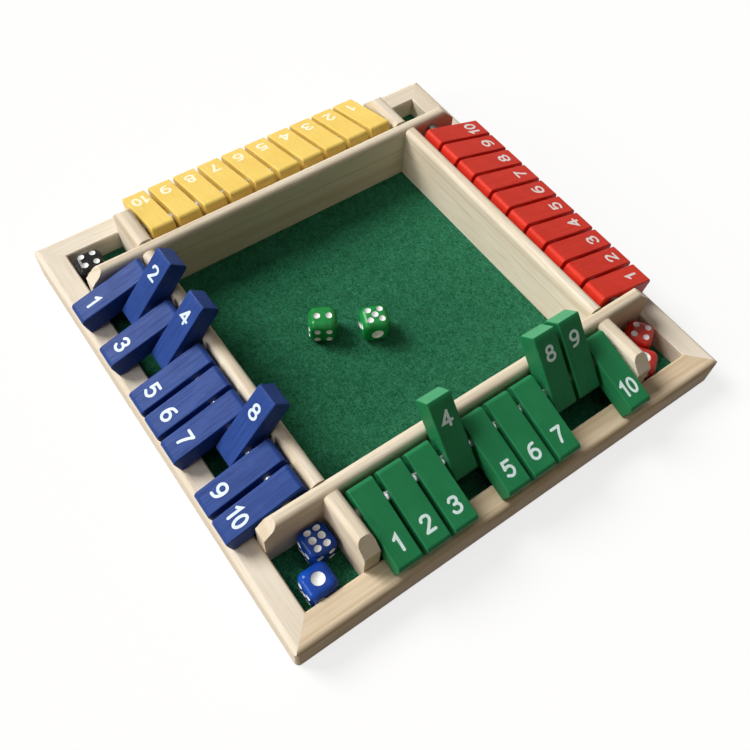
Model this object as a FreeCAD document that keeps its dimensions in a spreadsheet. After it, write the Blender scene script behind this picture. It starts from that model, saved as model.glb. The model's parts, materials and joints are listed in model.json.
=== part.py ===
import FreeCAD, Part
import math
import os
import re
import Sketcher

# A shut-the-box for four players: a square wooden tray with a felted dice well in the middle, and
# along each side a row of numbered tiles that flip over on a metal rod. The origin is the middle of
# the underside, +Z is up, and the rows are green at -Y, blue at -X, yellow at +Y and red at +X.
# Lengths are in millimetres.

doc = FreeCAD.newDocument("shut_the_box")

SIZES = (
    # Tiles. A tile turns about its rod, pivot_inset in from its inner end or heel, and slides along
    # it: the red ones lie closer together and off the middle. The tip is the free end.
    ("tile_count", 10),
    ("tile_gap", 2.3),
    ("red_gap", 1.7),
    ("red_shift", -2.4),
    ("tile_length", 40.2),
    ("tile_width", 12.6),
    ("tile_thickness", 10.6),
    ("tile_heel_bevel", 2.4),
    ("tile_tip_bevel", 1.4),
    ("tile_edge_break", 0.5),
    ("pivot_inset", 10.7),
    # Rods. The height is that of the axis above the rail tops.
    ("rod_diameter", 6.0),
    ("rod_height", 13.2),
    ("rod_seat_depth", 4.0),
    # Dividers and bay walls. The height is above the felt.
    ("wall_thickness", 7.0),
    ("bay_wall_thickness", 8.0),
    ("wall_height", 31.0),
    ("wall_round", 3.0),
    ("wall_slope", 7.0),
    ("well_set_back", 2.3),
    # Tray. The lap is how far in on the rail a lowered tile rests.
    ("rail_width", 13.0),
    ("rail_height", 17.0),
    ("rail_round", 3.0),
    ("rail_edge_break", 0.6),
    ("rail_lap", 9.19),
    ("rabbet_width", 6.0),
    ("base_thickness", 4.8),
    ("felt_thickness", 1.2),
    # Dice. Their turns are in degrees.
    ("die_size", 14.5),
    ("die_bevel", 2.6),
    ("green_turn_a", -31.0),
    ("green_turn_b", -22.0),
    ("red_turn", -55.0),
    ("black_turn", -4.0),
    # Places of the loose dice, as shares of the room they lie in.
    ("well_across_share_a", 0.318),
    ("well_along_share_a", 0.54),
    ("well_across_share_b", 0.479),
    ("well_along_share_b", 0.436),
    ("blue_share_a", 0.939),
    ("blue_share_b", 0.266),
    ("black_share", 0.779),
    ("red_share_a", 0.936),
    ("red_share_b", 0.026),
    # Clearances: beside the rows, round a swinging tile end, under a resting tile, round a rod
    # in its tile and in its seat, and round a die.
    ("row_gap", 1.65),
    ("side_swing_gap", 0.3),
    ("front_swing_gap", 0.8),
    ("rest_gap", 0.3),
    ("rod_clearance", 0.08),
    ("seat_clearance", 0.02),
    ("die_gap", 0.3),
    # Largest share of a wall's thickness that one rounding may take, and the overrun of cutters.
    ("round_limit_share", 0.48),
    ("overrun", 1.0),
)

sheet = doc.addObject("Spreadsheet::Sheet", "Sizes")
for row, (alias, size) in enumerate(SIZES, start=1):
    sheet.set(f"A{row}", alias)
    sheet.set(f"B{row}", str(size))
    sheet.setAlias(f"B{row}", alias)
doc.recompute()
ALIASES = {alias for alias, size in SIZES}

# Sizes that follow from the sheet, as expressions of its aliases.
FELT_TOP = "(base_thickness + felt_thickness)"
WALL_TOP = f"({FELT_TOP} + wall_height)"
WALL_ROUND = "min(wall_round; wall_thickness * round_limit_share)"
ROD_Z = "(rail_height + rod_height)"
TILE_PITCH = "(tile_width + tile_gap)"
RED_PITCH = "(tile_width + red_gap)"
ROW_HALF = f"((tile_count - 1) / 2 * {TILE_PITCH} + tile_width / 2)"
LONG_IN = f"({ROW_HALF} + row_gap)"
LONG_OUT = f"({LONG_IN} + wall_thickness)"
SHORT_IN = f"({LONG_IN} + well_set_back)"
SHORT_OUT = f"({SHORT_IN} + wall_thickness)"
BAY_OUT = f"({LONG_IN} + bay_wall_thickness)"
# From a rod's axis: how far the bevelled inner end of a tile reaches, and where the underside of a
# lowered tile ends, along the tile, down to the rail and out over it.
SWING = "sqrt(pivot_inset^2 + (tile_thickness / 2 - tile_heel_bevel)^2)"
ARM = "(tile_length - pivot_inset - tile_tip_bevel)"
DROP = "(rod_height - rest_gap)"
REACH = f"sqrt({ARM}^2 + (tile_thickness / 2)^2 - {DROP}^2)"
SIDE_ROD = f"({SHORT_OUT} + {SWING} + side_swing_gap)"
FRONT_ROD = f"({LONG_OUT} + {SWING} + front_swing_gap)"
TRAY_IN = f"({SIDE_ROD} + {REACH} - rail_lap)"
TRAY_OUT = f"({TRAY_IN} + rail_width)"
# Two dice fit one behind the other in a bay.
DIE = f"min(die_size; ({TRAY_IN} - {LONG_OUT} - 3 * die_gap) / 2)"


def bound(expression):
    """The expression with every alias written as a cell of the sheet."""
    def cell(match):
        word = match.group(0)
        return f"Sizes.{word}" if word in ALIASES else word
    return re.sub(r"[A-Za-z_][A-Za-z_0-9]*", cell, expression)


def number(expression):
    return float(sheet.evalExpression(bound(expression)))


def new_body(label):
    body = doc.addObject("PartDesign::Body", label)
    body.Label = label
    return body


def new_sketch(body, name, plane):
    sketch = body.newObject("Sketcher::SketchObject", f"{body.Name}_{name}")
    origin_plane = [item for item in body.Origin.OriginFeatures if item.Role == plane][0]
    sketch.AttachmentSupport = [(origin_plane, "")]
    sketch.MapMode = "FlatFace"
    return sketch


def place_point(sketch, item, point, x, y):
    """Ties a point of the sketch to its origin with two dimensions."""
    for kind, axis, expression in (("DistanceX", -2, x), ("DistanceY", -1, y)):
        value = number(expression)
        if abs(value) < Part.Precision.confusion():
            sketch.addConstraint(Sketcher.Constraint("PointOnObject", item, point, axis))
            continue
        ends = (-1, 1, item, point) if value > 0 else (item, point, -1, 1)
        index = sketch.addConstraint(Sketcher.Constraint(kind, *ends, abs(value)))
        sign = "" if value > 0 else "-"
        sketch.setExpression(f"Constraints[{index}]", bound(f"{sign}({expression})"))


def add_outline(sketch, corners):
    """A closed outline through corners given as pairs of expressions."""
    points = [FreeCAD.Vector(number(x), number(y), 0) for x, y in corners]
    first = sketch.GeometryCount
    for start, end in zip(points, points[1:] + points[:1]):
        sketch.addGeometry(Part.LineSegment(start, end), False)
    for index in range(len(points)):
        following = (index + 1) % len(points)
        sketch.addConstraint(Sketcher.Constraint("Coincident", first + index, 2, first + following, 1))
    for index, (x, y) in enumerate(corners):
        place_point(sketch, first + index, 1, x, y)


def add_circle(sketch, x, y, diameter):
    centre = FreeCAD.Vector(number(x), number(y), 0)
    circle = Part.Circle(centre, FreeCAD.Vector(0, 0, 1), number(diameter) / 2)
    item = sketch.addGeometry(circle, False)
    index = sketch.addConstraint(Sketcher.Constraint("Diameter", item, number(diameter)))
    sketch.setExpression(f"Constraints[{index}]", bound(diameter))
    place_point(sketch, item, 3, x, y)


def rectangle(left, bottom, right, top):
    return ((left, bottom), (right, bottom), (right, top), (left, top))


def pad(body, sketch, length, symmetric=True):
    feature = body.newObject("PartDesign::Pad", f"{sketch.Name}_pad")
    feature.Profile = sketch
    feature.setExpression("Length", bound(length))
    feature.SideType = "Symmetric" if symmetric else "One side"
    sketch.Visibility = False
    doc.recompute()
    return feature


def cut(body, sketch, depth, symmetric=True, reverse=False):
    feature = body.newObject("PartDesign::Pocket", f"{sketch.Name}_cut")
    feature.Profile = sketch
    feature.setExpression("Length", bound(depth))
    feature.SideType = "Symmetric" if symmetric else "One side"
    feature.Reversed = reverse
    sketch.Visibility = False
    doc.recompute()
    return feature


def dress(body, kind, base, wanted, size):
    """A fillet or a chamfer on the edges of the base feature that are wanted."""
    names = [f"Edge{index}" for index, edge in enumerate(base.Shape.Edges, start=1) if wanted(edge)]
    feature = body.newObject(f"PartDesign::{kind}", f"{base.Name}_{kind.lower()}")
    feature.Base = (base, names)
    feature.setExpression("Radius" if kind == "Fillet" else "Size", bound(size))
    doc.recompute()
    return feature


def lies(edge, **places):
    """Whether an edge lies wholly at the given x, y or z."""
    box = edge.BoundBox
    limits = {"x": (box.XMin, box.XMax), "y": (box.YMin, box.YMax), "z": (box.ZMin, box.ZMax)}
    near = number("rod_clearance")
    return all(abs(limit - place) < near for axis, place in places.items() for limit in limits[axis])


def turned(angle, x=0.0, y=0.0, z=0.0):
    """A place that is first shifted and then turned about the vertical through the origin."""
    turn = FreeCAD.Rotation(FreeCAD.Vector(0, 0, 1), angle)
    return FreeCAD.Placement(turn.multVec(FreeCAD.Vector(x, y, z)), turn)


def make_rail(label, angle):
    """A rail along X at -Y, mitred at both ends, then turned to its side of the tray."""
    body = new_body(label)
    section = new_sketch(body, "section", "YZ_Plane")
    shoulder = f"-({TRAY_IN} + rabbet_width)"
    add_outline(section, (
        (f"-{TRAY_OUT}", "0"), (shoulder, "0"), (shoulder, "base_thickness"),
        (f"-{TRAY_IN}", "base_thickness"), (f"-{TRAY_IN}", "rail_height"), (f"-{TRAY_OUT}", "rail_height")))
    stock = pad(body, section, f"2 * {TRAY_OUT}")
    outer, inner, top = -number(TRAY_OUT), -number(TRAY_IN), number("rail_height")
    rounded = dress(body, "Fillet", stock, lambda edge: lies(edge, y=outer, z=top), "rail_round")
    dress(body, "Chamfer", rounded, lambda edge: lies(edge, y=inner, z=top), "rail_edge_break")
    mitres = new_sketch(body, "mitres", "XY_Plane")
    near, far = f"({TRAY_IN} - overrun)", f"({TRAY_OUT} + overrun)"
    for sign in ("", "-"):
        add_outline(mitres, ((f"{sign}{near}", f"-{near}"), (f"{sign}{far}", f"-{far}"), (f"{sign}{far}", f"-{near}")))
    cut(body, mitres, "2 * (rail_height + overrun)")
    body.Placement = turned(angle)
    return body


def wall_stock(body, start, end, thickness="wall_thickness"):
    """A wall along X with a rounded top, between two lengths, centred on Y."""
    side = new_sketch(body, "side", "XZ_Plane")
    add_outline(side, rectangle(start, FELT_TOP, end, WALL_TOP))
    stock = pad(body, side, thickness)
    half, top = number(f"{thickness} / 2"), number(WALL_TOP)
    return dress(body, "Fillet", stock,
                 lambda edge: lies(edge, z=top, y=half) or lies(edge, z=top, y=-half), WALL_ROUND)


def slope_ends(body, ends, thickness="wall_thickness"):
    """Cuts the top corner off at each end, an expression of the length and the sign of its side."""
    slopes = new_sketch(body, "slopes", "XZ_Plane")
    for end, sign in ends:
        inner, outer = f"({end} - {sign}(wall_slope + overrun))", f"({end} + {sign}overrun)"
        over, under = f"({WALL_TOP} + overrun)", f"({WALL_TOP} - wall_slope - overrun)"
        add_outline(slopes, ((inner, over), (outer, over), (outer, under)))
    cut(body, slopes, f"{thickness} + overrun")


def seat_rods(body, places, reverse, thickness="wall_thickness"):
    """Blind holes for rod ends, drilled from one face of a wall at the given lengths."""
    seats = new_sketch(body, "seats", "XZ_Plane")
    face = f"{thickness} / 2"
    sign = "" if reverse else "-"
    seats.setExpression(".AttachmentOffset.Base.z", bound(f"{sign}({face})"))
    for place in places:
        add_circle(seats, place, ROD_Z, "rod_diameter + 2 * seat_clearance")
    cut(body, seats, "rod_seat_depth", symmetric=False, reverse=not reverse)


def make_long_divider(label, angle):
    """The divider at -Y, whose inner face holds an end of both side rods."""
    body = new_body(label)
    wall_stock(body, f"-{TRAY_IN}", TRAY_IN)
    slope_ends(body, ((f"-{TRAY_IN}", "-"), (TRAY_IN, "")))
    seat_rods(body, (f"-{SIDE_ROD}", SIDE_ROD), reverse=False)
    body.Placement = turned(angle, y=-number(f"({LONG_IN} + {LONG_OUT}) / 2"))
    return body


def make_short_divider(label, angle):
    body = new_body(label)
    wall_stock(body, f"-{LONG_IN}", LONG_IN)
    body.Placement = turned(angle, y=-number(f"({SHORT_IN} + {SHORT_OUT}) / 2"))
    return body


def make_bay_wall(label, angle, side):
    """A wall beside the tile row of the -Y side, before it is turned to its own side."""
    body = new_body(label)
    thickness = "bay_wall_thickness"
    wall_stock(body, LONG_OUT, TRAY_IN, thickness)
    slope_ends(body, ((TRAY_IN, ""),), thickness)
    seat_rods(body, (FRONT_ROD,), side > 0, thickness)
    stand = FreeCAD.Placement(FreeCAD.Vector(side * number(f"({LONG_IN} + {BAY_OUT}) / 2"), 0, 0),
                              FreeCAD.Rotation(FreeCAD.Vector(0, 0, 1), -90))
    body.Placement = turned(angle).multiply(stand)
    return body


def make_slab(label, half, bottom, thickness):
    body = new_body(label)
    plan = new_sketch(body, "plan", "XY_Plane")
    plan.setExpression(".AttachmentOffset.Base.z", bound(bottom))
    add_outline(plan, rectangle(f"-({half})", f"-({half})", half, half))
    pad(body, plan, thickness, symmetric=False)
    return body


def make_rod(label, angle, reach, offset):
    rod = doc.addObject("Part::Cylinder", label)
    rod.setExpression("Radius", bound("rod_diameter / 2"))
    rod.setExpression("Height", bound(f"2 * {reach}"))
    lying = FreeCAD.Rotation(FreeCAD.Vector(0, 1, 0), 90)
    stand = FreeCAD.Placement(FreeCAD.Vector(-number(reach), -number(offset), number(ROD_Z)), lying)
    rod.Placement = turned(angle).multiply(stand)
    return rod


def make_group(label, members):
    group = doc.addObject("Part::Compound", label)
    group.Links = members
    group.Label = label
    return group


def make_tile(label, place):
    """A tile with its rod's axis on Y and its free end at +X, before it is put in its place."""
    body = new_body(label)
    side = new_sketch(body, "side", "XZ_Plane")
    outer, half = "(tile_length - pivot_inset)", "tile_thickness / 2"
    add_outline(side, rectangle("-pivot_inset", f"-{half}", outer, half))
    add_circle(side, "0", "0", "rod_diameter + 2 * rod_clearance")
    stock = pad(body, side, "tile_width")
    length, depth, width = number(outer), number(half), number("tile_width / 2")
    flats = (-depth, depth)
    for x, bevel in ((-number("pivot_inset"), "tile_heel_bevel"), (length, "tile_tip_bevel")):
        stock = dress(body, "Chamfer", stock,
                      lambda edge: any(lies(edge, x=x, z=z) for z in flats), bevel)
    dress(body, "Chamfer", stock,
          lambda edge: any(lies(edge, y=y, z=z) for y in (-width, width) for z in flats), "tile_edge_break")
    body.Placement = place
    return body


def make_die(label, place):
    body = new_body(label)
    plan = new_sketch(body, "plan", "XY_Plane")
    half = f"{DIE} / 2"
    add_outline(plan, rectangle(f"-{half}", f"-{half}", half, half))
    cube = pad(body, plan, DIE, symmetric=False)
    dress(body, "Chamfer", cube, lambda edge: True, "die_bevel")
    body.Placement = place
    return body


def tile_tilts(offset, wall_out):
    """How far a tile is turned about its rod when it lies on the rail and when it leans on a wall."""
    arm, half = number(ARM), number("tile_thickness / 2")
    lowered = math.asin(number(DROP) / math.hypot(arm, half)) - math.atan2(half, arm)
    across = number(f"{offset} - {wall_out} + {WALL_ROUND}")
    above = number(f"{WALL_TOP} - {WALL_ROUND} - {ROD_Z}")
    apart = number(f"tile_thickness / 2 + {WALL_ROUND} + rest_gap")
    raised = math.asin(apart / math.hypot(across, above)) + math.atan2(above, across)
    return math.degrees(lowered), math.degrees(raised) - 180.0


def make_row(colour, angle, offset, wall_out, pitch, shift, raised_numbers):
    """The tiles of one side, numbered along the row, with their free ends outward."""
    lowered, raised = tile_tilts(offset, wall_out)
    count = int(number("tile_count"))
    tiles = []
    for numeral in range(1, count + 1):
        along = number(shift) + (numeral - (count + 1) / 2) * number(pitch)
        tilt = raised if numeral in raised_numbers else lowered
        hinge = FreeCAD.Placement(FreeCAD.Vector(number(offset), along, number(ROD_Z)),
                                  FreeCAD.Rotation(FreeCAD.Vector(0, 1, 0), tilt))
        tiles.append(make_tile(f"tile_{colour}_{numeral}", turned(angle).multiply(hinge)))
    return tiles


def die_place(room, shares, turn):
    """A die on the felt, its place given as shares of a room (left, right, front, back)."""
    left, right, front, back = (number(limit) for limit in room)
    turns = abs(math.cos(math.radians(turn))), abs(math.sin(math.radians(turn)))
    half = number(f"{DIE} / 2 - die_bevel") * sum(turns) + number("die_bevel") * max(turns) + number("die_gap")
    x = left + half + shares[0] * (right - left - 2 * half)
    y = front + half + shares[1] * (back - front - 2 * half)
    return FreeCAD.Placement(FreeCAD.Vector(x, y, number(FELT_TOP)),
                             FreeCAD.Rotation(FreeCAD.Vector(0, 0, 1), turn))


def make_dice():
    well = (f"-{SHORT_IN}", SHORT_IN, f"-{LONG_IN}", LONG_IN)
    front_left = (f"-{TRAY_IN}", f"-{BAY_OUT}", f"-{TRAY_IN}", f"-{LONG_OUT}")
    front_right = (BAY_OUT, TRAY_IN, f"-{TRAY_IN}", f"-{LONG_OUT}")
    back_left = (f"-{TRAY_IN}", f"-{BAY_OUT}", LONG_OUT, TRAY_IN)
    laid = (
        ("die_green_a", well, ("well_across_share_a", "well_along_share_a"), "green_turn_a"),
        ("die_green_b", well, ("well_across_share_b", "well_along_share_b"), "green_turn_b"),
        ("die_blue_a", front_left, ("blue_share_a", "1"), "0"),
        ("die_blue_b", front_left, ("blue_share_b", "0"), "0"),
        ("die_red_a", front_right, ("red_share_a", "1"), "red_turn"),
        ("die_red_b", front_right, ("red_share_b", "0"), "red_turn"),
        ("die_black_a", back_left, ("0", "black_share"), "black_turn"),
        ("die_black_b", back_left, ("1", "0"), "0"),
    )
    return [make_die(label, die_place(room, [number(share) for share in shares], number(turn)))
            for label, room, shares, turn in laid]


SIDES = (
    ("red", 0, SIDE_ROD, SHORT_OUT, RED_PITCH, "red_shift", ()),
    ("yellow", 90, FRONT_ROD, LONG_OUT, TILE_PITCH, "0", ()),
    ("blue", 180, SIDE_ROD, SHORT_OUT, TILE_PITCH, "0", (2, 4, 8)),
    ("green", 270, FRONT_ROD, LONG_OUT, TILE_PITCH, "0", (4, 8, 9)),
)

nodes = [make_rail(f"rail_{name}", angle)
         for name, angle in (("front", 0), ("right", 90), ("back", 180), ("left", 270))]
nodes.append(make_slab("base_panel", f"({TRAY_IN} + rabbet_width)", "0", "base_thickness"))
nodes.append(make_slab("felt", TRAY_IN, "base_thickness", "felt_thickness"))
nodes.append(make_long_divider("divider_front", 0))
nodes.append(make_long_divider("divider_back", 180))
nodes.append(make_short_divider("divider_right", 90))
nodes.append(make_short_divider("divider_left", 270))
nodes.append(make_group("bay_walls", [make_bay_wall(f"bay_wall_{index}", angle, side) for index, (angle, side)
                                      in enumerate(((0, -1), (0, 1), (180, -1), (180, 1)), start=1)]))
rod_reach = f"({LONG_IN} + rod_seat_depth)"
nodes.append(make_group("rods", [
    make_rod(f"rod_{colour}", angle, rod_reach, offset)
    for colour, angle, offset in (("green", 0, FRONT_ROD), ("red", 90, SIDE_ROD),
                                  ("yellow", 180, FRONT_ROD), ("blue", 270, SIDE_ROD))]))
for side in SIDES:
    nodes.extend(make_row(*side))
nodes.extend(make_dice())
doc.recompute()

for item in doc.Objects:
    if "Invalid" in item.State or "Error" in item.State:
        raise RuntimeError(f"{item.Label} did not build: {item.State}")
os.makedirs("parts", exist_ok=True)
for node in nodes:
    if node.Shape.isNull() or not node.Shape.isValid():
        raise RuntimeError(f"{node.Label} has no valid shape")
    node.Shape.exportStep(f"parts/{node.Label}.step")
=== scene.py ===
import json
import math

import bmesh
import bpy
from mathutils import Matrix, Vector, noise


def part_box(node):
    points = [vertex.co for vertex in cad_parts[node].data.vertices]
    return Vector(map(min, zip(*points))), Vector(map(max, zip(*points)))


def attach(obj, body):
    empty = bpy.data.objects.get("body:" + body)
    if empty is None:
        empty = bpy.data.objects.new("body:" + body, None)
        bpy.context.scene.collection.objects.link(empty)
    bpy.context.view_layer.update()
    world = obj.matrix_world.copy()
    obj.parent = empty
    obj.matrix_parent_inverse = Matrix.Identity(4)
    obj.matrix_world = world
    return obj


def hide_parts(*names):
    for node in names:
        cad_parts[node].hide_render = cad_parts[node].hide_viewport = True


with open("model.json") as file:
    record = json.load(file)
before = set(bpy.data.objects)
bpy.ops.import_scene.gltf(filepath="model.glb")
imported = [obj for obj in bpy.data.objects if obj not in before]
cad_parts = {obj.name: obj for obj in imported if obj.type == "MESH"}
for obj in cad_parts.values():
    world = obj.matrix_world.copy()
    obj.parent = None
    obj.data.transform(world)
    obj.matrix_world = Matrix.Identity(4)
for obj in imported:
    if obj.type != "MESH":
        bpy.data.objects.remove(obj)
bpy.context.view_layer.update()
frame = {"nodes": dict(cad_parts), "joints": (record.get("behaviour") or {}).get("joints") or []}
NODES = frame["nodes"]
JOINTS = {joint["name"]: joint for joint in frame["joints"]}

MM = 0.001
COLOURS = ("red", "yellow", "blue", "green")
TILE_COUNT = 10
UP = Vector((0, 0, 1))
# Attribute with each point's place in the wood of its own tile
GRAIN = "grain"
# Points of a mesh that lie this close are one point
WELD = 0.002 * MM

# Node trees


class Tree:
    """A material's node tree, with short calls for the nodes that the materials here share."""

    def __init__(self, name, own_grain=False):
        self.material = bpy.data.materials.new(name)
        self.material.use_nodes = True
        self.nodes = self.material.node_tree.nodes
        self.links = self.material.node_tree.links
        self.shader = self.nodes["Principled BSDF"]
        if own_grain:
            grain = self.nodes.new("ShaderNodeAttribute")
            grain.attribute_name = GRAIN
            self.place = grain.outputs["Vector"]
        else:
            self.place = self.nodes.new("ShaderNodeTexCoord").outputs["Object"]

    def link(self, source, target):
        self.links.new(source, target)

    def stretched(self, scale, shift=(0, 0, 0)):
        node = self.nodes.new("ShaderNodeMapping")
        node.inputs["Scale"].default_value = scale
        node.inputs["Location"].default_value = shift
        self.link(self.place, node.inputs["Vector"])
        return node.outputs["Vector"]

    def noise(self, vector, scale=1.0, detail=4.0, rough=0.55, distortion=0.0):
        node = self.nodes.new("ShaderNodeTexNoise")
        self.link(vector, node.inputs["Vector"])
        node.inputs["Scale"].default_value = scale
        node.inputs["Detail"].default_value = detail
        node.inputs["Roughness"].default_value = rough
        node.inputs["Distortion"].default_value = distortion
        return node.outputs["Fac"]

    def sum(self, kind, a, b):
        node = self.nodes.new("ShaderNodeMath")
        node.operation = kind
        for socket, value in zip(node.inputs, (a, b)):
            if isinstance(value, (int, float)):
                socket.default_value = value
            else:
                self.link(value, socket)
        return node.outputs[0]

    def span(self, value, low, high, out_low=0.0, out_high=1.0):
        node = self.nodes.new("ShaderNodeMapRange")
        node.interpolation_type = "SMOOTHSTEP"
        self.link(value, node.inputs["Value"])
        for name, number in (
            ("From Min", low),
            ("From Max", high),
            ("To Min", out_low),
            ("To Max", out_high),
        ):
            node.inputs[name].default_value = number
        return node.outputs["Result"]

    def mix(self, amount, a, b, kind="MIX"):
        node = self.nodes.new("ShaderNodeMix")
        node.data_type = "RGBA"
        node.blend_type = kind
        colours = [s for s in node.inputs if s.type == "RGBA"]
        if isinstance(amount, (int, float)):
            node.inputs[0].default_value = amount
        else:
            self.link(amount, node.inputs[0])
        for socket, value in zip(colours, (a, b)):
            if isinstance(value, tuple):
                socket.default_value = (*value, 1)
            else:
                self.link(value, socket)
        return [s for s in node.outputs if s.type == "RGBA"][0]

    def bump(self, height, strength, distance):
        node = self.nodes.new("ShaderNodeBump")
        node.inputs["Strength"].default_value = strength
        node.inputs["Distance"].default_value = distance
        self.link(height, node.inputs["Height"])
        self.link(node.outputs["Normal"], self.shader.inputs["Normal"])

    def colour(self, value):
        self.link(value, self.shader.inputs["Base Color"])

    def rough(self, value):
        self.link(value, self.shader.inputs["Roughness"])

    def fixed(self, **values):
        for name, value in values.items():
            self.shader.inputs[name.replace("_", " ")].default_value = value


def along(axis, fine, coarse):
    """A texture scale that is coarse along one axis, 0 for X and 1 for Y, and fine across it."""
    return tuple(coarse if k == axis else fine for k in range(3))


def wood(name, axis, seed, pale=(0.80, 0.68, 0.50), dark=(0.60, 0.44, 0.27), gloss=0.55):
    """Bare pine: growth lines and fine fibres along one axis, with paler and darker stretches."""
    tree = Tree(name)
    shift = (seed * 0.37, seed * 0.61, seed * 0.23)
    broad_place = tree.stretched(along(axis, 42, 1.3), shift)
    broad = tree.noise(broad_place, detail=1, rough=0.4, distortion=0.1)
    rings = tree.sum("PINGPONG", tree.sum("MULTIPLY", broad, 15), 1.0)
    lines = tree.span(rings, 0.62, 1.0, 0.0, 1.0)
    fibres = tree.noise(tree.stretched(along(axis, 2300, 46), shift), detail=5, rough=0.65)
    patches = tree.noise(tree.stretched(along(axis, 55, 9), shift), detail=3)
    fleck_field = tree.noise(tree.stretched(along(axis, 620, 34), shift), detail=2, rough=0.4)
    flecks = tree.span(fleck_field, 0.66, 0.78)
    body = tree.mix(tree.span(patches, 0.3, 0.7, 0.0, 0.35), pale, dark)
    ringed = tree.mix(tree.sum("MULTIPLY", lines, 0.46), body, dark)
    streaked = tree.mix(tree.span(fibres, 0.38, 0.70, 0.0, 0.50), ringed, dark)
    brown = tuple(c * 0.62 for c in dark)
    tree.colour(tree.mix(tree.sum("MULTIPLY", flecks, 0.28), streaked, brown))
    tree.rough(tree.span(fibres, 0.3, 0.7, gloss - 0.06, gloss + 0.10))
    tree.bump(tree.sum("ADD", fibres, tree.sum("MULTIPLY", lines, 0.4)), 0.22, 0.00025)
    tree.fixed(Specular_IOR_Level=0.12)
    return tree.material


def painted(name, tone, shade, shine, show, gloss=0.45):
    """Thin paint on wood: the grain shows as fine streaks along a tile, pores as darker dashes."""
    tree = Tree(name, own_grain=True)
    streaks = tree.noise(tree.stretched(along(0, 1150, 42)), detail=5, rough=0.62)
    pores = tree.noise(tree.stretched(along(0, 2600, 130)), detail=2, rough=0.5)
    clouds = tree.noise(tree.stretched((70, 70, 70)), detail=3)
    base = tree.mix(tree.span(clouds, 0.3, 0.7, 0.0, 0.45), tone, shade)
    grain = tree.mix(tree.span(streaks, 0.42, 0.72, 0.0, show), base, shade)
    deep = tuple(c * 0.45 for c in shade)
    tree.colour(tree.mix(tree.span(pores, 0.62, 0.76, 0.0, show), grain, deep))
    tree.rough(tree.span(streaks, 0.3, 0.7, gloss - 0.06, gloss + 0.08))
    tree.bump(tree.sum("SUBTRACT", streaks, tree.span(pores, 0.6, 0.76)), 0.30, 0.00012)
    tree.fixed(Specular_IOR_Level=shine)
    return tree.material


def plastic(name, tone, shade):
    """Polished moulded plastic with faint flow marks and fine handling scratches."""
    tree = Tree(name)
    flow = tree.noise(tree.stretched((120, 120, 120)), detail=3, distortion=0.8)
    scuffs = tree.noise(tree.stretched((900, 2400, 900)), detail=3, rough=0.7)
    tree.colour(tree.mix(tree.span(flow, 0.3, 0.7), tone, shade))
    tree.rough(tree.span(scuffs, 0.45, 0.8, 0.08, 0.20))
    tree.bump(scuffs, 0.05, 0.00004)
    tree.fixed(Specular_IOR_Level=0.16)
    return tree.material


def enamel(name, tone, shade, gloss):
    """White or pale printed paint, a little uneven where it was pressed on."""
    tree = Tree(name)
    body = tree.noise(tree.stretched((420, 420, 420)), detail=3)
    grit = tree.noise(tree.stretched((3200, 3200, 3200)), detail=2)
    tree.colour(tree.mix(tree.span(body, 0.35, 0.75), tone, shade))
    tree.rough(tree.span(grit, 0.3, 0.7, gloss - 0.05, gloss + 0.08))
    tree.bump(grit, 0.08, 0.00005)
    return tree.material


def felt_cloth(name):
    """Pressed felt: matted fibres in two greens, lighter strands over them and a soft nap."""
    tree = Tree(name)
    mat_marks = tree.noise(tree.stretched((760, 760, 760)), detail=5, rough=0.68)
    fibres = tree.noise(tree.stretched((950, 1250, 900)), detail=6, rough=0.72, distortion=1.6)
    worn = tree.noise(tree.stretched((16, 16, 16)), detail=2)
    low, high = (0.003, 0.058, 0.023), (0.008, 0.104, 0.044)
    ground = tree.mix(tree.span(mat_marks, 0.40, 0.60), low, high)
    matted = tree.mix(tree.span(fibres, 0.48, 0.66, 0.0, 0.60), ground, (0.020, 0.158, 0.075))
    strands = None
    for run in ((190, 430, 200), (430, 190, 200), (300, 340, 200), (620, 560, 200)):
        field = tree.noise(tree.stretched(run), detail=2, distortion=1.1)
        off_line = tree.sum("ABSOLUTE", tree.sum("SUBTRACT", field, 0.5), 0)
        line = tree.span(off_line, 0.0, 0.030, 1.0, 0.0)
        strands = line if strands is None else tree.sum("MAXIMUM", strands, line)
    haired = tree.mix(tree.sum("MULTIPLY", strands, 0.75), matted, (0.050, 0.290, 0.156))
    tree.colour(tree.mix(tree.span(worn, 0.35, 0.7, 0.0, 0.15), haired, low))
    tree.bump(tree.sum("ADD", tree.sum("ADD", fibres, mat_marks), strands), 0.55, 0.0005)
    tree.fixed(Roughness=0.95, Specular_IOR_Level=0.12, Sheen_Weight=0.04, Sheen_Roughness=0.55)
    tree.fixed(Sheen_Tint=(0.35, 0.80, 0.55, 1))
    return tree.material


# Where the rods' painted shade begins, from the middle of the tray: beyond it they are darker and
# rougher
ROD_SHADE_FROM = 67 * MM


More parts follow.
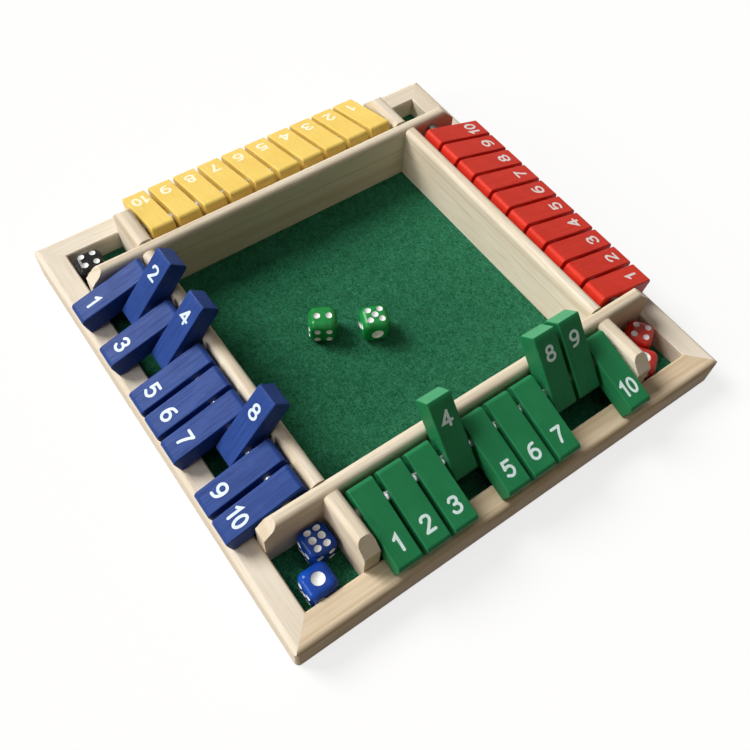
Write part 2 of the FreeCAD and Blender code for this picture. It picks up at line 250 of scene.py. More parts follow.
def steel(name):
    """Bright drawn rod with fine lines and faint dull spots, darkened as painted shade and rougher
    where it enters a wall.
    """
    tree = Tree(name)
    lines = tree.noise(tree.stretched((2200, 2200, 2200)), detail=3)
    spots = tree.noise(tree.stretched((160, 160, 160)), detail=2)
    bright = tree.mix(tree.span(spots, 0.35, 0.7), (0.56, 0.57, 0.59), (0.40, 0.41, 0.44))
    parts = tree.nodes.new("ShaderNodeSeparateXYZ")
    tree.link(tree.place, parts.inputs[0])
    along_x, along_y = (tree.sum("ABSOLUTE", parts.outputs[k], 0) for k in (0, 1))
    out = tree.sum("MINIMUM", along_x, along_y)
    shade_near_wall = tree.span(out, ROD_SHADE_FROM, ROD_SHADE_FROM + MM)
    # Painted shade: the rod turns dark brown where it runs into the walls
    tree.colour(tree.mix(shade_near_wall, bright, (0.10, 0.085, 0.07)))
    drawn = tree.span(lines, 0.3, 0.7, 0.12, 0.22)
    tree.rough(tree.sum("ADD", drawn, tree.sum("MULTIPLY", shade_near_wall, 0.4)))
    tree.bump(lines, 0.05, 0.00003)
    tree.fixed(Metallic=1.0)
    return tree.material


# Mesh helpers


def mesh_data(mesh, name):
    """A finished bmesh as mesh data."""
    data = bpy.data.meshes.new(name)
    mesh.to_mesh(data)
    mesh.free()
    return data


def smooth(data):
    data.polygons.foreach_set("use_smooth", [True] * len(data.polygons))


def sharpen(data, angle):
    """Keeps the edges sharp that turn by more than an angle in degrees."""
    data.set_sharp_from_angle(angle=math.radians(angle))


def add_object(name, mesh, *materials):
    obj = bpy.data.objects.new(name, mesh)
    bpy.context.scene.collection.objects.link(obj)
    for material in materials:
        mesh.materials.append(material)
    return obj


def shaped(obj):
    """The mesh of an object with its modifiers applied."""
    bpy.context.view_layer.update()
    graph = bpy.context.evaluated_depsgraph_get()
    return bpy.data.meshes.new_from_object(obj.evaluated_get(graph))


def face_areas(mesh):
    """Total area of a mesh's faces by direction."""
    areas = {}
    for face in mesh.polygons:
        key = tuple(round(c, 2) + 0.0 for c in face.normal)
        areas[key] = areas.get(key, 0) + face.area
    return areas


# Rails, dividers, bay walls and base panel: pine on the CAD's solids, with the tray's upright
# corners and the edges of all but the base panel softened

WOOD_EDGE = 0.25 * MM
WOOD_EDGE_STEPS = 2
WOOD_EDGE_ANGLE = 25
CORNER_ROUND = 2.4 * MM
CORNER_TURNS = 12
RAIL_PINE = {"pale": (0.73, 0.610, 0.455), "dark": (0.52, 0.370, 0.205)}
SIDE_RAIL_PINE = {"pale": (0.82, 0.752, 0.650), "dark": (0.64, 0.525, 0.380)}
WALL_PINE = {"pale": (0.80, 0.728, 0.610), "dark": (0.57, 0.440, 0.285)}
WOODS = (
    ("rail_front", 0, RAIL_PINE),
    ("rail_back", 0, SIDE_RAIL_PINE),
    ("rail_left", 1, SIDE_RAIL_PINE),
    ("rail_right", 1, SIDE_RAIL_PINE),
    ("divider_front", 0, WALL_PINE),
    ("divider_back", 0, WALL_PINE),
    ("divider_left", 1, WALL_PINE),
    ("divider_right", 1, WALL_PINE),
    ("bay_walls", 1, WALL_PINE),
)
PANEL_PLY = {"pale": (0.62, 0.47, 0.30), "dark": (0.45, 0.31, 0.18), "gloss": 0.62}
PANEL_SEED = 17


def dress(node, material):
    node.data.materials.clear()
    node.data.materials.append(material)


def weld(obj):
    obj.modifiers.new("weld", "WELD").merge_threshold = WELD


def soften(obj):
    """Rounds a solid's hard edges by a hair, so that they catch the light."""
    weld(obj)
    bevel = obj.modifiers.new("edges", "BEVEL")
    bevel.width = WOOD_EDGE
    bevel.segments = WOOD_EDGE_STEPS
    bevel.limit_method = "ANGLE"
    bevel.angle_limit = math.radians(WOOD_EDGE_ANGLE)
    bevel.use_clamp_overlap = True
    shade = obj.modifiers.new("shade", "WEIGHTED_NORMAL")
    shade.keep_sharp = False


def corner_form():
    """An upright block around the rails, as wide as they are, with its upright edges rounded."""
    rails = [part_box(f"rail_{side}") for side in ("front", "back", "left", "right")]
    half_x = max(high[0] for low, high in rails)
    half_y = max(high[1] for low, high in rails)
    top = 2 * max(high[2] for low, high in rails)
    outline = []
    for quarter, (x, y) in enumerate(((1, 1), (-1, 1), (-1, -1), (1, -1))):
        middle = Vector((x * (half_x - CORNER_ROUND), y * (half_y - CORNER_ROUND)))
        for k in range(CORNER_TURNS + 1):
            turn = (quarter + k / CORNER_TURNS) * math.pi / 2
            outline.append(middle + Vector((math.cos(turn), math.sin(turn))) * CORNER_ROUND)
    mesh = bmesh.new()
    foot, head = ([mesh.verts.new((p.x, p.y, z)) for p in outline] for z in (-top, top))
    for k in range(len(outline)):
        n = (k + 1) % len(outline)
        mesh.faces.new([foot[k], foot[n], head[n], head[k]])
    mesh.faces.new(foot[::-1])
    mesh.faces.new(head)
    return add_object("corner_form", mesh_data(mesh, "corner_form"))


def round_rail(node, form, material):
    """A rail as the CAD has it, but cut to the rounded corners."""
    stock = add_object("rail_stock", node.data.copy())
    weld(stock)
    cut = stock.modifiers.new("corners", "BOOLEAN")
    cut.operation = "INTERSECT"
    cut.solver = "EXACT"
    cut.object = form
    data = shaped(stock)
    bpy.data.objects.remove(stock, do_unlink=True)
    data.name = "shown_" + node.name
    data.materials.clear()
    smooth(data)
    shown = add_object("shown_" + node.name, data, material)
    soften(shown)
    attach(shown, "tray")
    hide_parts(node.name)


tray_corners = corner_form()
for seed, (node_name, axis, tones) in enumerate(WOODS):
    pine = wood("pine_" + node_name, axis, seed + 1, **tones)
    if node_name.startswith("rail_"):
        round_rail(NODES[node_name], tray_corners, pine)
    else:
        dress(NODES[node_name], pine)
        soften(NODES[node_name])
bpy.data.objects.remove(tray_corners, do_unlink=True)
dress(NODES["base_panel"], wood("panel_ply", 0, PANEL_SEED, **PANEL_PLY))

# Paints of the tiles: two tones each, how much they gleam and how strongly the grain shows. The
# green tiles' tip ends are painted a paler green, a painted highlight for the light they reflect.

TONES = {
    "red": ((0.680, 0.036, 0.018), (0.530, 0.022, 0.010)),
    "yellow": ((0.800, 0.580, 0.145), (0.730, 0.480, 0.085)),
    "blue": ((0.024, 0.066, 0.272), (0.011, 0.035, 0.168)),
    "green": ((0.020, 0.200, 0.075), (0.011, 0.140, 0.050)),
}
SHINE = {"red": 0.15, "yellow": 0.2, "blue": 0.11, "green": 0.1}
SHOW = {"red": 0.45, "yellow": 0.45, "blue": 0.8, "green": 0.35}
# The green tips' paler paint is a painted highlight, standing in for reflected light
END_TONES_GREEN_HIGHLIGHT = {**TONES, "green": ((0.080, 0.340, 0.165), (0.050, 0.260, 0.120))}
DIGIT_TONES = {
    "red": ((0.86, 0.80, 0.78), (0.74, 0.66, 0.64)),
    "yellow": ((0.92, 0.86, 0.68), (0.86, 0.76, 0.52)),
    "blue": ((0.66, 0.77, 0.88), (0.54, 0.66, 0.80)),
    "green": ((0.70, 0.86, 0.85), (0.58, 0.76, 0.74)),
}
DIGIT_GLOSS = 0.5
PAINTS, END_PAINTS_GREEN_HIGHLIGHT, DIGIT_PAINTS = {}, {}, {}
for colour in COLOURS:
    look = SHINE[colour], SHOW[colour]
    PAINTS[colour] = painted("paint_" + colour, *TONES[colour], *look)
    END_PAINTS_GREEN_HIGHLIGHT[colour] = painted("ends_" + colour, *END_TONES_GREEN_HIGHLIGHT[colour], *look)
    DIGIT_PAINTS[colour] = enamel("digits_" + colour, *DIGIT_TONES[colour], DIGIT_GLOSS)

# Digits: strokes with round ends, laid on a tile's faces one a hair above the other

STROKE = 1.38 * MM
DIGIT_SCALE = 0.96
DIGIT_LIFT = 0.03 * MM
STROKE_LIFT = 0.015 * MM
DIGIT_FROM_END = 10.6 * MM
ARC_STEPS = 36
CAP_STEPS = 10
CURVE_STEPS = 7
# Least share of a stroke's width that counts where a stroke bends, so that no corner runs out far
BEND_SHARE = 0.35


def ring(x, y, rx, ry):
    """A closed oval."""
    turns = [2 * math.pi * k / ARC_STEPS for k in range(ARC_STEPS + 1)]
    return [(x + rx * math.sin(t), y + ry * math.cos(t)) for t in turns]


def between(a, b, c, d, t):
    """The value a share t of the way from b to c, on a smooth line through all four."""
    square = 2 * a - 5 * b + 4 * c - d
    cube = 3 * b - a - 3 * c + d
    return 0.5 * (2 * b + (c - a) * t + square * t**2 + cube * t**3)


def curve(*points):
    """A smooth line through the points."""
    ends = [points[0], *points, points[-1]]
    line = []
    for a, b, c, d in zip(ends, ends[1:], ends[2:], ends[3:]):
        for step in range(CURVE_STEPS):
            t = step / CURVE_STEPS
            line.append(tuple(between(a[k], b[k], c[k], d[k], t) for k in (0, 1)))
    return [*line, points[-1]]


# Strokes of each number about its middle, in millimetres before DIGIT_SCALE. In a ten, the one and
# the zero are narrower and stand to the sides.
SIX_TAIL = curve((-2.2, -1.5), (-2.1, 0.3), (-1.5, 2.1), (-0.3, 3.3), (1.6, 3.6))
SIX = [ring(0, -1.45, 2.2, 2.2), SIX_TAIL]
NINE = [[(-x, -y) for x, y in line] for line in SIX]
ONE = [[(-1.2, 2.1), (0.6, 3.6), (0.6, -3.6)]]
ZERO = [ring(0, 0, 2.15, 3.6)]
TWO_HOOK = curve(
    (-2.1, 1.9), (-1.6, 3.1), (0, 3.6), (1.6, 3.1), (2.0, 1.7), (1.2, 0.1), (-2.1, -3.55)
)
THREE_HEAD = curve(
    (-2.0, 2.4), (-1.2, 3.4), (0.3, 3.6), (1.6, 3.0), (1.8, 1.7), (1.0, 0.6), (-0.4, 0.3)
)
THREE_FOOT = curve(
    (-0.4, 0.3), (1.2, 0.1), (2.2, -1.4), (1.6, -3.0), (0, -3.6), (-1.5, -3.2), (-2.2, -2.2)
)
FIVE_BOWL = curve(
    (-1.85, 0.2), (-0.3, 1.0), (1.5, 0.5), (2.2, -1.2), (1.5, -2.9), (0, -3.6), (-2.1, -2.7)
)
TEN_ONE_SHARE, TEN_ONE_PLACE = 0.9, -3.3
TEN_ZERO_SHARE, TEN_ZERO_PLACE = 0.85, 1.75
DIGITS = {
    1: ONE,
    2: [TWO_HOOK, [(-2.1, -3.55), (2.2, -3.55)]],
    3: [THREE_HEAD, THREE_FOOT],
    4: [[(1.0, -3.6), (1.0, 3.6)], [(1.0, 3.6), (-2.4, -1.5), (2.5, -1.5)]],
    5: [[(1.9, 3.5), (-1.5, 3.5), (-1.85, 0.2)], FIVE_BOWL],
    6: SIX,
    7: [[(-2.2, 3.5), (2.2, 3.5)], curve((2.2, 3.5), (0.8, 1.0), (-0.2, -1.5), (-0.7, -3.6))],
    8: [ring(0, 1.85, 1.75, 1.75), ring(0, -1.65, 2.2, 1.95)],
    9: NINE,
    10: [
        [(x * TEN_ONE_SHARE + TEN_ONE_PLACE, y) for x, y in ONE[0]],
        [(x * TEN_ZERO_SHARE + TEN_ZERO_PLACE, y) for x, y in ZERO[0]],
    ],
}


def band(line):
    """A stroke's points, the directions between them, and the points of its two sides."""
    half = STROKE / 2
    points = [Vector((x, y)) * DIGIT_SCALE * MM for x, y in line]
    runs = [(b - a).normalized() for a, b in zip(points, points[1:])]
    left, right = [], []
    for k, point in enumerate(points):
        before, after = runs[max(k - 1, 0)], runs[min(k, len(runs) - 1)]
        way = (before + after).normalized()
        reach = half / max(way.dot(after), BEND_SHARE)
        side = Vector((-way.y, way.x)) * reach
        left.append(point + side)
        right.append(point - side)
    return points, runs, left, right


def cap(middle, way):
    """Points of the half circle that closes a stroke's end, from its left side to its right."""
    side = Vector((-way.y, way.x))
    turns = [math.pi * k / CAP_STEPS for k in range(1, CAP_STEPS)]
    return [middle + (side * math.cos(t) + way * math.sin(t)) * STROKE / 2 for t in turns]


def ink(mesh, line, place):
    """Adds one stroke to a mesh as a flat band with round ends, or as a closed ring."""
    points, runs, left, right = band(line)
    closed = (points[0] - points[-1]).length < WELD
    if closed:
        points, left, right = points[:-1], left[:-1], right[:-1]
        way = (runs[0] + runs[-1]).normalized()
        side = Vector((-way.y, way.x)) * STROKE / 2
        left[0], right[0] = points[0] + side, points[0] - side
    lefts = [mesh.verts.new(place(p)) for p in left]
    rights = [mesh.verts.new(place(p)) for p in right]
    count = len(lefts)
    for k in range(count if closed else count - 1):
        n = (k + 1) % count
        mesh.faces.new([lefts[k], rights[k], rights[n], lefts[n]])
    if closed:
        return
    for middle, way, a, b in (
        (points[-1], runs[-1], lefts[-1], rights[-1]),
        (points[0], -runs[0], rights[0], lefts[0]),
    ):
        rim = [mesh.verts.new(place(p)) for p in cap(middle, way)]
        mesh.faces.new([a, *rim, b])


# A face whose direction has no more than this along a line counts as lying along that line
LEVEL = 0.1


def tile_frame(colour, number):
    """The middle of a tile's bore, its directions to the free end, along the rod and out of the top
    face, and from that middle its reach, half thickness and heel, with its width and its bore."""
    node = NODES[f"tile_{colour}_{number}"]
    joint = JOINTS[f"flip_{colour}_{number}"]
    pivot = Vector(joint["pos_m"])
    rod = -Vector(joint["axis"])
    areas = face_areas(node.data)
    flats = {key: area for key, area in areas.items() if abs(Vector(key).dot(rod)) < LEVEL}
    out = Vector(max(flats, key=flats.get)).normalized()
    offsets = [v.co - pivot for v in node.data.vertices]
    middle = sum(offsets, Vector()) / len(offsets)
    if rod.cross(out).dot(middle) < 0:
        out = -out
    free = rod.cross(out).normalized()
    reach = max(p.dot(free) for p in offsets)
    heel = min(p.dot(free) for p in offsets)
    across = [p.dot(rod) for p in offsets]
    depth = max(p.dot(out) for p in offsets)
    bore = min((p - rod * p.dot(rod)).length for p in offsets)
    centre = pivot + rod * (min(across) + max(across)) / 2
    width = max(across) - min(across)
    return centre, free, rod, out, reach, depth, heel, width, bore


def make_digits(colour, number):
    """A tile's number on both faces, upright for its own player, lowered and raised."""
    centre, free, rod, out, reach, depth = tile_frame(colour, number)[:6]
    mesh = bmesh.new()
    for normal, top in ((out, -free), (-out, free)):
        middle = centre + free * (reach - DIGIT_FROM_END) + normal * (depth + DIGIT_LIFT)
        right = top.cross(normal)
        for layer, line in enumerate(DIGITS[number]):
            base = middle + normal * STROKE_LIFT * layer
            ink(mesh, line, lambda p: base + right * p.x + top * p.y)
    for face in mesh.faces:
        face.normal_update()
    for face in mesh.faces:
        outward = out if (face.calc_center_median() - centre).dot(out) > 0 else -out
        if face.normal.dot(outward) < 0:
            face.normal_flip()
    name = f"digits_{colour}_{number}"
    obj = add_object(name, mesh_data(mesh, name), DIGIT_PAINTS[colour])
    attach(obj, f"tile_{colour}_{number}")


# Tiles: the CAD tile's block with its ends and edges rounded. A corner's rounding is given by how
# far it runs along the tile and across its thickness.

HEEL_ROUND = (2.2 * MM, 2.2 * MM)
TIP_ROUND = (2.5 * MM, 2.5 * MM)
TIP_UNDER_ROUND = (3.0 * MM, 0.65 * MM)
TILE_EDGE = 0.55 * MM
CORNER_STEPS = 8
EDGE_STEPS = 3
BORE_SIDES = 40
TILE_SHARP = 40
# How far apart the tiles are cut from the same wood
GRAIN_STEP = 0.083


def tile_outline(heel, reach, depth, inset):
    """A tile's outline seen along the rod, drawn in by an inset, from the tip's top corner on."""
    corners = (
        (reach, depth, TIP_ROUND),
        (heel, depth, HEEL_ROUND),
        (heel, -depth, HEEL_ROUND),
        (reach, -depth, TIP_UNDER_ROUND),
    )
    points = []
    for quarter, (f, o, (run, drop)) in enumerate(corners):
        middle = Vector((f - math.copysign(run, f), o - math.copysign(drop, o)))
        for k in range(CORNER_STEPS + 1):
            turn = (quarter + k / CORNER_STEPS) * math.pi / 2
            arm = Vector(((run - inset) * math.cos(turn), (drop - inset) * math.sin(turn)))
            points.append(middle + arm)
    return points


def make_tile(colour, number):
    """A tile, made lying along X with its bore along Y about the origin, then set in its place."""
    centre, free, rod, out, reach, depth, heel, width, bore = tile_frame(colour, number)
    mesh = bmesh.new()
    edge = []
    for k in range(EDGE_STEPS + 1):
        turn = math.pi / 2 * k / EDGE_STEPS
        level = width / 2 - TILE_EDGE * (1 - math.cos(turn))
        edge.append((level, TILE_EDGE * (1 - math.sin(turn))))
    rings = edge + [(-level, inset) for level, inset in reversed(edge)]

    def loop(points, level):
        return [mesh.verts.new((p.x, level, p.y)) for p in points]

    def strip(a, b):
        for k in range(len(a)):
            n = (k + 1) % len(a)
            mesh.faces.new([a[k], a[n], b[n], b[k]])

    loops = [loop(tile_outline(heel, reach, depth, inset), level) for level, inset in rings]
    for a, b in zip(loops, loops[1:]):
        strip(a, b)
    turns = [2 * math.pi * k / BORE_SIDES for k in range(BORE_SIDES)]
    hole = [Vector((math.cos(t), math.sin(t))) * bore for t in turns]
    holes = [loop(hole, level) for level in (width / 2, -width / 2)]
    strip(*holes)
    for outer, inner in zip((loops[0], loops[-1]), holes):
        edges = [
            mesh.edges.get((a, b)) or mesh.edges.new((a, b))
            for line in (outer, inner)
            for a, b in zip(line, line[1:] + line[:1])
        ]
        bmesh.ops.triangle_fill(mesh, use_beauty=True, use_dissolve=False, edges=edges)
    bmesh.ops.recalc_face_normals(mesh, faces=mesh.faces)
    # The tip's end faces take the end paint, which on the green tiles carries a painted highlight
    end_from = reach - TILE_EDGE / 4
    for face in mesh.faces:
        face.material_index = int(face.calc_center_median().x > end_from)
    name = f"tile_{colour}_{number}"
    data = mesh_data(mesh, "shown_" + name)
    grain = data.attributes.new(GRAIN, "FLOAT_VECTOR", "POINT")
    shift = Vector((number, COLOURS.index(colour), 0)) * GRAIN_STEP
    for point, vertex in zip(grain.data, data.vertices):
        point.vector = vertex.co + shift
    place = Matrix((free, rod, out)).transposed().to_4x4()
    data.transform(Matrix.Translation(centre) @ place)
    if place.determinant() < 0:
        data.flip_normals()
    smooth(data)
    sharpen(data, TILE_SHARP)
    shown = add_object("shown_" + name, data, PAINTS[colour], END_PAINTS_GREEN_HIGHLIGHT[colour])
    shade = shown.modifiers.new("shade", "WEIGHTED_NORMAL")
    shade.keep_sharp = True
    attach(shown, name)
    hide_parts(name)


for colour in COLOURS:
    for number in range(1, TILE_COUNT + 1):
        make_tile(colour, number)
        make_digits(colour, number)

# Rods: smooth round bars with a small bevel at each end

ROD_SIDES = 64
ROD_BEVEL = 0.4 * MM
ROD_SHARP = 30
# No other rod has points this near to a row's axis
ROD_NEAR = 6 * MM


def add_rod(mesh, colour):
    """A bar along the row's axis, as long and thick as the CAD rod there."""
    joint = JOINTS[f"flip_{colour}_1"]
    pivot, way = Vector(joint["pos_m"]), Vector(joint["axis"]).normalized()
    offsets = [v.co - pivot for v in NODES["rods"].data.vertices]
    spans = [(p.dot(way), (p - way * p.dot(way)).length) for p in offsets]
    near = [(t, r) for t, r in spans if r < ROD_NEAR]
    low, high = min(t for t, r in near), max(t for t, r in near)
    radius = max(r for t, r in near)
    side = way.cross(UP).normalized()
    rings = (
        (low, radius - ROD_BEVEL),
        (low + ROD_BEVEL, radius),
        (high - ROD_BEVEL, radius),
        (high, radius - ROD_BEVEL),
    )
    turns = [2 * math.pi * k / ROD_SIDES for k in range(ROD_SIDES)]
    loops = [
        [
            mesh.verts.new(pivot + way * t + (side * math.cos(a) + UP * math.sin(a)) * r)
            for a in turns
        ]
        for t, r in rings
    ]
    for a, b in zip(loops, loops[1:]):
        for k in range(ROD_SIDES):
            n = (k + 1) % ROD_SIDES
            mesh.faces.new([a[k], b[k], b[n], a[n]])
    mesh.faces.new(loops[0])
    mesh.faces.new(loops[-1][::-1])


def make_rods():
    mesh = bmesh.new()
    for colour in COLOURS:
        add_rod(mesh, colour)
    bmesh.ops.recalc_face_normals(mesh, faces=mesh.faces)
    data = mesh_data(mesh, "rod_bars")
    smooth(data)
    sharpen(data, ROD_SHARP)
    bars = add_object("rod_bars", data, steel("rod_steel"))
    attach(bars, "tray")
    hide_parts("rods")


make_rods()

# Dice: rounded cubes with dished pips, one shape turned to show the right faces

DIE_ROUND = 4.0 * MM
DIE_CELLS = 30
DIE_SHARP = 32
# A side face of a CAD die has more than this share of the largest one's area
DIE_SIDE_SHARE = 0.8
PIP = 1.75 * MM
BIG_PIP = 3.05 * MM
PIP_DEPTH_SHARE = 0.2
PIP_BALL_SIDES, PIP_BALL_RINGS = 40, 24
PIP_GLOSS = 0.35
# Places of the pips from a face's middle, in millimetres
WIDE = 3.1
SIX_ACROSS, SIX_ALONG = 2.35, 4.1
# Each value's face: its direction, and the direction across which its pips are laid out
DIE_FACES = {
    1: (Vector((0, -1, 0)), Vector((1, 0, 0))),
    6: (Vector((0, 1, 0)), Vector((0, 0, 1))),
    5: (Vector((0, 0, 1)), Vector((1, 0, 0))),
    2: (Vector((0, 0, -1)), Vector((0, 1, 0))),
    3: (Vector((-1, 0, 0)), Vector((0, 1, 0))),
    4: (Vector((1, 0, 0)), Vector((0, 1, 0))),
}
FOUR = [(-WIDE, -WIDE), (-WIDE, WIDE), (WIDE, -WIDE), (WIDE, WIDE)]
PIPS = {
    1: [(0, 0)],
    2: [(-WIDE, 0), (WIDE, 0)],
    3: [(-WIDE, -WIDE), (0, 0), (WIDE, WIDE)],
    4: FOUR,
    5: [*FOUR, (0, 0)],
    6: [(x, y) for x in (-SIX_ACROSS, SIX_ACROSS) for y in (-SIX_ALONG, 0, SIX_ALONG)],
}


def die_skin(point, size):
    """Where a point of a cube's face goes on the rounded die, and the die's direction there."""
    flat = size / 2 - DIE_ROUND
    core = Vector([max(-flat, min(flat, c)) for c in point])
    out = (point - core).normalized()
    return core + out * DIE_ROUND, out


def rounded_cube(size):
    mesh = bmesh.new()
    steps = [size * (k / DIE_CELLS - 0.5) for k in range(DIE_CELLS + 1)]
    for normal, u in DIE_FACES.values():
        v = normal.cross(u)
        grid = [
            [mesh.verts.new(die_skin(normal * size / 2 + u * x + v * y, size)[0]) for y in steps]
            for x in steps
        ]
        for a, b in zip(grid, grid[1:]):
            for k in range(DIE_CELLS):
                mesh.faces.new([a[k], b[k], b[k + 1], a[k + 1]])
    bmesh.ops.remove_doubles(mesh, verts=mesh.verts, dist=WELD)
    bmesh.ops.recalc_face_normals(mesh, faces=mesh.faces)
    return mesh_data(mesh, "die_shape")


def pip_cutters(size):
    """One mesh with a ball for each pip, each set to cut a shallow dish of the pip's width."""
    mesh = bmesh.new()
    for value, (normal, u) in DIE_FACES.items():
        v = normal.cross(u)
        radius = BIG_PIP if value == 1 else PIP
        depth = radius * 2 * PIP_DEPTH_SHARE
        ball = (radius**2 + depth**2) / (2 * depth)
        for x, y in PIPS[value]:
            skin, out = die_skin(normal * size / 2 + (u * x + v * y) * MM, size)
            bmesh.ops.create_uvsphere(
                mesh,
                u_segments=PIP_BALL_SIDES,
                v_segments=PIP_BALL_RINGS,
                radius=ball,
                matrix=Matrix.Translation(skin + out * (ball - depth)),
            )
    return mesh_data(mesh, "pip_cutters")


def dished_die(size, body_material, pip_material):
    """The die's mesh with its pips cut, the dishes in the second material."""
    die = add_object("die_stock", rounded_cube(size), body_material, pip_material)
    balls = add_object("die_balls", pip_cutters(size), pip_material)
    cut = die.modifiers.new("pips", "BOOLEAN")
    cut.operation = "DIFFERENCE"
    cut.solver = "EXACT"
    cut.material_mode = "TRANSFER"
    cut.object = balls
    data = shaped(die)
    for obj in (die, balls):
        bpy.data.objects.remove(obj, do_unlink=True)
    return data


def die_frame(node):
    """A CAD die's centre, size and the level direction of the side that most faces the front."""
    low, high = (Vector(c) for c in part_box(node.name))
    sides = {key: area for key, area in face_areas(node.data).items() if abs(key[2]) < LEVEL}
    least = DIE_SIDE_SHARE * max(sides.values())
    faces = [Vector(key) for key, area in sides.items() if area > least]
    front = min(faces, key=lambda d: d.y)
    return (low + high) / 2, high.z - low.z, Vector((front.x, front.y, 0)).normalized()


DICE_TONES = {
    "green": ((0.012, 0.270, 0.055), (0.006, 0.190, 0.036)),
    "blue": ((0.006, 0.064, 0.390), (0.003, 0.036, 0.270)),
    "red": ((0.70, 0.030, 0.016), (0.56, 0.018, 0.009)),
    "black": ((0.014, 0.014, 0.016), (0.008, 0.008, 0.009)),
}
# Top and front values of each die
DICE_SHOW = {
    "die_green_a": (2, 4),
    "die_green_b": (5, 1),
    "die_blue_a": (6, 4),
    "die_blue_b": (1, 3),
    "die_red_a": (4, 2),
    "die_red_b": (1, 3),
    "die_black_a": (4, 6),
    "die_black_b": (3, 1),
}
pip_white = enamel("pip_white", (0.80, 0.82, 0.82), (0.71, 0.73, 0.73), PIP_GLOSS)
DICE_PLASTIC = {colour: plastic("dice_" + colour, *tones) for colour, tones in DICE_TONES.items()}
die_master = dished_die(die_frame(NODES["die_green_a"])[1], DICE_PLASTIC["green"], pip_white)
for colour, die_plastic in DICE_PLASTIC.items():
    for letter in "ab":
        name = f"die_{colour}_{letter}"
        centre, size, front = die_frame(NODES[name])
        top_value, front_value = DICE_SHOW[name]
        top_from, front_from = DIE_FACES[top_value][0], DIE_FACES[front_value][0]
        start = Matrix((front_from, top_from, front_from.cross(top_from))).transposed()
        target = Matrix((front, UP, front.cross(UP))).transposed()
        turn = (target @ start.transposed()).to_4x4()
        data = die_master.copy()
        data.materials[0] = die_plastic
        data.name = "shown_" + name
        data.transform(Matrix.Translation(centre) @ turn)
        smooth(data)
        sharpen(data, DIE_SHARP)
        shown = add_object("shown_" + name, data)
        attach(shown, name)
        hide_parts(name)

# Felt: a thin sheet with a matted, slightly uneven face

FELT_CELLS = 160
FELT_RELIEF = 0.10 * MM
FELT_RELIEF_SCALE = 260
FELT_SHARP = 40


def on_rim(i, j):
    return i in (0, FELT_CELLS) or j in (0, FELT_CELLS)


def make_felt():
    low, high = (Vector(c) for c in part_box("felt"))
    mesh = bmesh.new()
    top, foot = [], []
    for i in range(FELT_CELLS + 1):
        for j in range(FELT_CELLS + 1):
            x = low.x + (high.x - low.x) * i / FELT_CELLS
            y = low.y + (high.y - low.y) * j / FELT_CELLS
            dip = 0.5 + 0.5 * noise.noise(Vector((x, y, 0)) * FELT_RELIEF_SCALE)
            top.append(mesh.verts.new((x, y, high.z - FELT_RELIEF * dip)))
            foot.append(mesh.verts.new((x, y, low.z)) if on_rim(i, j) else None)
    row = FELT_CELLS + 1
    for i in range(FELT_CELLS):
        for j in range(FELT_CELLS):
            k = i * row + j
            mesh.faces.new([top[k], top[k + row], top[k + row + 1], top[k + 1]])
    rim = [i * row for i in range(row)]
    rim += [FELT_CELLS * row + j for j in range(1, row)]
    rim += [i * row + FELT_CELLS for i in range(FELT_CELLS - 1, -1, -1)]
    rim += [j for j in range(FELT_CELLS - 1, 0, -1)]
    for a, b in zip(rim, rim[1:] + rim[:1]):
        mesh.faces.new([top[b], top[a], foot[a], foot[b]])
    mesh.faces.new([foot[k] for k in reversed(rim)])
    data = mesh_data(mesh, "felt_sheet")
    smooth(data)
    sharpen(data, FELT_SHARP)
    sheet = add_object("felt_sheet", data, felt_cloth("felt_green"))
    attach(sheet, "tray")
    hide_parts("felt")


make_felt()

# Floor, light and camera

FLOOR_HALF = 3.0
FLOOR_CELLS = 8
# Share of the floor's look that is plain white, whatever light falls on it
FLOOR_GLOW = 0.78
# What the floor sends back onto the object
FLOOR_BOUNCE = (0.215, 0.16, 0.085, 1)
# Direction, spread in degrees, strength and tint of each light
LIGHTS = {
    "key": ((-0.85, 1.40, 1.46), 30, 3.7, (1.0, 0.99, 0.965)),
    "left": ((-2.0, 0.25, 0.75), 25, 1.0, (1.0, 0.99, 0.97)),
    "above": ((0.0, 0.0, 1.0), 40, 0.25, (1.0, 1.0, 1.0)),
}
SKY_TINT = (1.0, 0.82, 0.56, 1)
SKY_STRENGTH = 0.072
CAMERA_SENSOR = 36
CAMERA_LENS = 39.886
CAMERA_NEAR = 0.01
CAMERA_PLACE = (-0.159146, -0.198251, 0.354772)
CAMERA_RIGHT = (0.8108241, -0.5833269, 0.0478961)
CAMERA_UP = (0.4743094, 0.7028206, 0.5301639)
CAMERA_BACK = (-0.3429212, -0.4071521, 0.8465413)


def seen_rays(tree):
    """1 for rays that show a surface to the camera, straight on, in a gloss or through glass."""
    path = tree.nodes.new("ShaderNodeLightPath")
    seen = path.outputs["Is Camera Ray"]
    for ray in ("Is Glossy Ray", "Is Transmission Ray"):
        most = tree.nodes.new("ShaderNodeMath")
        most.operation = "MAXIMUM"
        tree.links.new(seen, most.inputs[0])
        tree.links.new(path.outputs[ray], most.inputs[1])
        seen = most.outputs[0]
    return seen


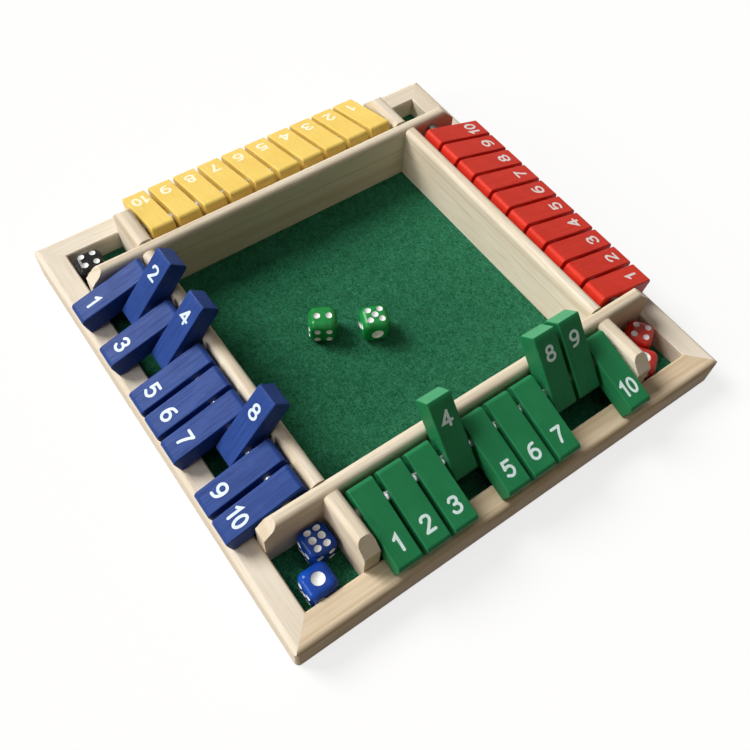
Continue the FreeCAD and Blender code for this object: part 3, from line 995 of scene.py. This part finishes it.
floor_tree = Tree("floor_white")
floor_grain = floor_tree.noise(floor_tree.stretched((40, 40, 40)), detail=2)
floor_tree.colour(floor_tree.mix(floor_grain, (0.93, 0.93, 0.93), (0.95, 0.95, 0.95)))
floor_tree.fixed(Roughness=0.9, Specular_IOR_Level=0.0)
floor_glow = floor_tree.nodes.new("ShaderNodeEmission")
floor_shown = floor_tree.nodes.new("ShaderNodeMixShader")
floor_shown.inputs[0].default_value = FLOOR_GLOW
floor_tree.link(floor_tree.shader.outputs[0], floor_shown.inputs[1])
floor_tree.link(floor_glow.outputs[0], floor_shown.inputs[2])
floor_dim = floor_tree.nodes.new("ShaderNodeBsdfDiffuse")
floor_dim.inputs["Color"].default_value = FLOOR_BOUNCE
floor_mix = floor_tree.nodes.new("ShaderNodeMixShader")
floor_tree.link(seen_rays(floor_tree.material.node_tree), floor_mix.inputs[0])
floor_tree.link(floor_dim.outputs[0], floor_mix.inputs[1])
floor_tree.link(floor_shown.outputs[0], floor_mix.inputs[2])
floor_tree.link(floor_mix.outputs[0], floor_tree.nodes["Material Output"].inputs["Surface"])
floor_mesh = bmesh.new()
bmesh.ops.create_grid(
    floor_mesh, x_segments=FLOOR_CELLS, y_segments=FLOOR_CELLS, size=FLOOR_HALF
)
floor = add_object("floor", mesh_data(floor_mesh, "floor"), floor_tree.material)


def soft_sun(name, toward, spread, strength, tint):
    """An even, soft-edged light from one direction."""
    lamp = bpy.data.lights.new(name, "SUN")
    lamp.angle = math.radians(spread)
    lamp.energy = strength
    lamp.color = tint
    obj = bpy.data.objects.new(name, lamp)
    bpy.context.scene.collection.objects.link(obj)
    obj.location = toward
    obj.rotation_euler = (-Vector(toward)).to_track_quat("-Z", "Y").to_euler()


for name, light in LIGHTS.items():
    soft_sun(name, *light)

world = bpy.data.worlds.new("studio")
bpy.context.scene.world = world
world.use_nodes = True
sky = world.node_tree.nodes
sky_links = world.node_tree.links
glow = sky["Background"]
glow.inputs["Color"].default_value = SKY_TINT
glow.inputs["Strength"].default_value = SKY_STRENGTH
white = sky.new("ShaderNodeBackground")
white.inputs["Color"].default_value = (1, 1, 1, 1)
white.inputs["Strength"].default_value = 1.0
choice = sky.new("ShaderNodeMixShader")
sky_links.new(seen_rays(world.node_tree), choice.inputs[0])
sky_links.new(glow.outputs[0], choice.inputs[1])
sky_links.new(white.outputs[0], choice.inputs[2])
sky_links.new(choice.outputs[0], sky["World Output"].inputs["Surface"])

camera_data = bpy.data.cameras.new("camera")
camera_data.sensor_width = CAMERA_SENSOR
camera_data.lens = CAMERA_LENS
camera_data.clip_start = CAMERA_NEAR
camera = bpy.data.objects.new("camera", camera_data)
bpy.context.scene.collection.objects.link(camera)
camera_turn = Matrix((CAMERA_RIGHT, CAMERA_UP, CAMERA_BACK)).transposed().to_4x4()
camera.matrix_world = Matrix.Translation(CAMERA_PLACE) @ camera_turn
bpy.context.scene.camera = camera
bpy.context.scene.view_settings.view_transform = "Standard"
